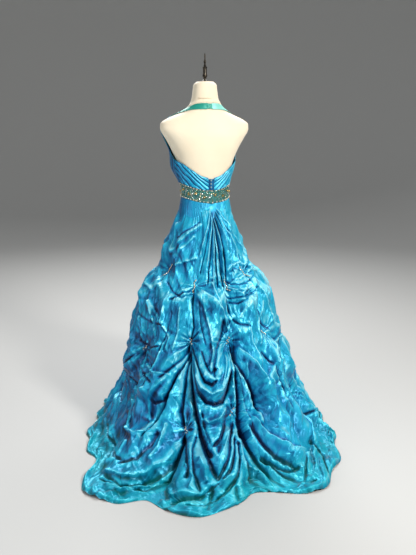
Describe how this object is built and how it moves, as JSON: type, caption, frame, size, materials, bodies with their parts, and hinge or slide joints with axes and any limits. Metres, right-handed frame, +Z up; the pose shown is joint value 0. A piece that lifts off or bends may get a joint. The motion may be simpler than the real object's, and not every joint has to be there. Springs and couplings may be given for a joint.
{
  "type": "evening dress on a dress form",
  "caption": "Halter evening dress with a low back, beaded waistband and pick-up skirt with a short train, worn by a limbless dress form on a round base.",
  "frame": {"origin": "centre of the round base's underside, on the floor", "axes": "+Z up along the pole, +Y the way the form faces, +X towards the form's right; the train lies towards -Y"},
  "size_m": [1.1922, 1.3197, 1.6503],
  "materials": {
    "taffeta": "crisp shot taffeta, bright blue with green lights",
    "satin": "smooth teal satin",
    "beading": "teal net covered with gold, silver and pearl beads",
    "form_cloth": "ivory stretched jersey",
    "dark_metal": "dark bronze paint",
    "crystal": "clear faceted button"
  },
  "bodies": {
    "root": {"dress_form": "form_cloth", "finial": "dark_metal", "pole": "dark_metal", "base_collar": "dark_metal", "base": "dark_metal", "bodice_front_left": "taffeta", "bodice_front_right": "taffeta", "bodice_back_left": "taffeta", "bodice_back_right": "taffeta", "back_placket": "taffeta", "button_1": "crystal", "button_2": "crystal", "button_3": "crystal", "neckband_left": "satin", "neckband_right": "satin", "neck_tab": "satin", "waistband_front": "beading", "waistband_back": "beading", "skirt_front": "taffeta", "skirt_side_left": "taffeta", "skirt_side_right": "taffeta", "skirt_back_left": "taffeta", "skirt_back_right": "taffeta"}
  },
  "joints": []
}
